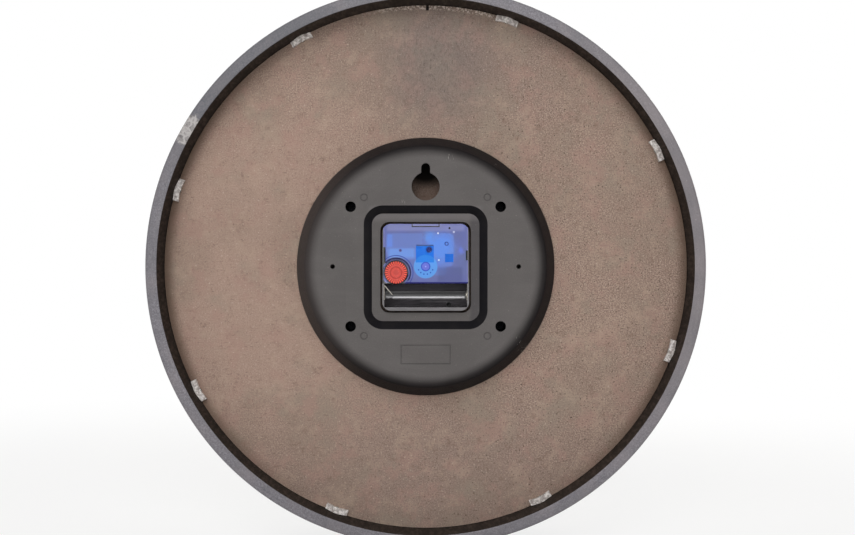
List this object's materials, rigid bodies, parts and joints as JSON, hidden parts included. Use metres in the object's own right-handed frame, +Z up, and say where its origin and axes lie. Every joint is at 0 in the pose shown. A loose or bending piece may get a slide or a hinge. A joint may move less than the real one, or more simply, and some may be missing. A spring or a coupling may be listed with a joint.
{
  "type": "wall clock",
  "caption": "Round wall clock with a deep rim, a clipped hardboard back and a moulded cover that has a keyhole hanger and a battery bay around the quartz movement driving three hands.",
  "frame": {"origin": "centre of the round upper end of the cover's keyhole slot, on the cover's outer face", "axes": "+Z up, +Y towards the wall, +X to the right as seen from the front; the dial faces -Y"},
  "size_m": [0.36, 0.044, 0.36],
  "materials": {
    "rim_paint": "dark grey satin paint, worn pale in one place",
    "clear_glass": "clear flat glass",
    "white_card": "matt white board",
    "dial_print": "matt printed card",
    "hardboard": "smooth brown hardboard",
    "clear_clip": "clear moulded plastic",
    "bright_steel": "bright plated steel",
    "grey_moulding": "even matt grey moulding",
    "black_moulding": "black moulding with a soft sheen",
    "blue_tint": "see-through blue moulding",
    "red_moulding": "red moulding",
    "nickel": "nickel-plated spring steel",
    "pale_moulding": "pale grey moulding",
    "laminate": "green laminate",
    "black_resin": "black resin",
    "copper_wire": "enamelled copper wire",
    "core_steel": "soft iron sheet",
    "ferrite": "sintered magnet",
    "pinion_moulding": "coloured moulding",
    "wheel_moulding": "natural moulding",
    "blue_moulding": "pale blue moulding",
    "brass_turned": "turned brass",
    "black_rubber": "black rubber",
    "hand_black": "satin black paint",
    "hand_red": "satin red paint"
  },
  "bodies": {
    "clock_case": {"case_rim": "rim_paint", "front_glass": "clear_glass", "spacer_ring": "white_card", "dial": "dial_print", "backing_board": "hardboard", "retaining_clips": "clear_clip", "clip_brads": "bright_steel", "hanger_cover": "grey_moulding", "cover_screws": "bright_steel", "movement_case": "black_moulding", "movement_lid": "blue_tint", "negative_contact": "nickel", "positive_contact": "nickel", "train_bridge": "pale_moulding", "circuit_board": "laminate", "chip": "black_resin", "quartz_crystal": "bright_steel", "coil_bobbin": "pale_moulding", "coil_winding": "copper_wire", "stator_plate": "core_steel", "centre_bushing": "brass_turned", "rubber_gasket": "black_rubber", "nut_washer": "brass_turned", "hex_nut": "brass_turned"},
    "seconds": {"seconds_wheel": "blue_moulding", "seconds_arbor": "bright_steel", "second_hand": "hand_red"},
    "rotor": {"rotor_magnet": "ferrite", "rotor_pinion": "pinion_moulding"},
    "intermediate": {"intermediate_wheel": "wheel_moulding"},
    "third": {"third_wheel": "wheel_moulding"},
    "centre": {"centre_wheel": "wheel_moulding"},
    "minutes": {"minute_pipe": "brass_turned", "minute_hand": "hand_black", "minute_nut": "brass_turned"},
    "motion": {"motion_wheel": "wheel_moulding"},
    "hours": {"hour_wheel": "wheel_moulding", "hour_hand": "hand_black"},
    "knob": {"setting_knob": "red_moulding"}
  },
  "joints": [
    {"name": "seconds_turn", "type": "hinge", "parent": "clock_case", "child": "seconds", "pos_m": [0, -0.0041, -0.0637], "axis": [0, 1, 0], "continuous": true},
    {"name": "rotor_turn", "type": "hinge", "parent": "clock_case", "child": "rotor", "pos_m": [-0.0021, -0.0076, -0.053], "axis": [0, 1, 0], "continuous": true},
    {"name": "intermediate_turn", "type": "hinge", "parent": "clock_case", "child": "intermediate", "pos_m": [-0.00657, -0.0063, -0.05927], "axis": [0, 1, 0], "continuous": true},
    {"name": "third_turn", "type": "hinge", "parent": "clock_case", "child": "third", "pos_m": [0.00516, -0.009, -0.05817], "axis": [0, 1, 0], "continuous": true},
    {"name": "centre_turn", "type": "hinge", "parent": "clock_case", "child": "centre", "pos_m": [0, -0.01, -0.0637], "axis": [0, 1, 0], "continuous": true},
    {"name": "minutes_turn", "type": "hinge", "parent": "clock_case", "child": "minutes", "pos_m": [0, -0.0111, -0.0637], "axis": [0, 1, 0], "continuous": true},
    {"name": "motion_turn", "type": "hinge", "parent": "clock_case", "child": "motion", "pos_m": [0.00776, -0.0111, -0.06526], "axis": [0, 1, 0], "continuous": true},
    {"name": "hours_turn", "type": "hinge", "parent": "clock_case", "child": "hours", "pos_m": [0, -0.0123, -0.0637], "axis": [0, 1, 0], "continuous": true},
    {"name": "knob_turn", "type": "hinge", "parent": "clock_case", "child": "knob", "pos_m": [0.01909, -0.00285, -0.06754], "axis": [0, 1, 0], "continuous": true}
  ],
  "couplings": [
    {"joint": "rotor_turn", "follows": "seconds_turn", "ratio": 30},
    {"joint": "intermediate_turn", "follows": "seconds_turn", "ratio": -5},
    {"joint": "third_turn", "follows": "seconds_turn", "ratio": -0.13333},
    {"joint": "centre_turn", "follows": "seconds_turn", "ratio": 0.016667},
    {"joint": "motion_turn", "follows": "minutes_turn", "ratio": -0.33333},
    {"joint": "hours_turn", "follows": "minutes_turn", "ratio": 0.083333},
    {"joint": "knob_turn", "follows": "minutes_turn", "ratio": 0.35294}
  ]
}
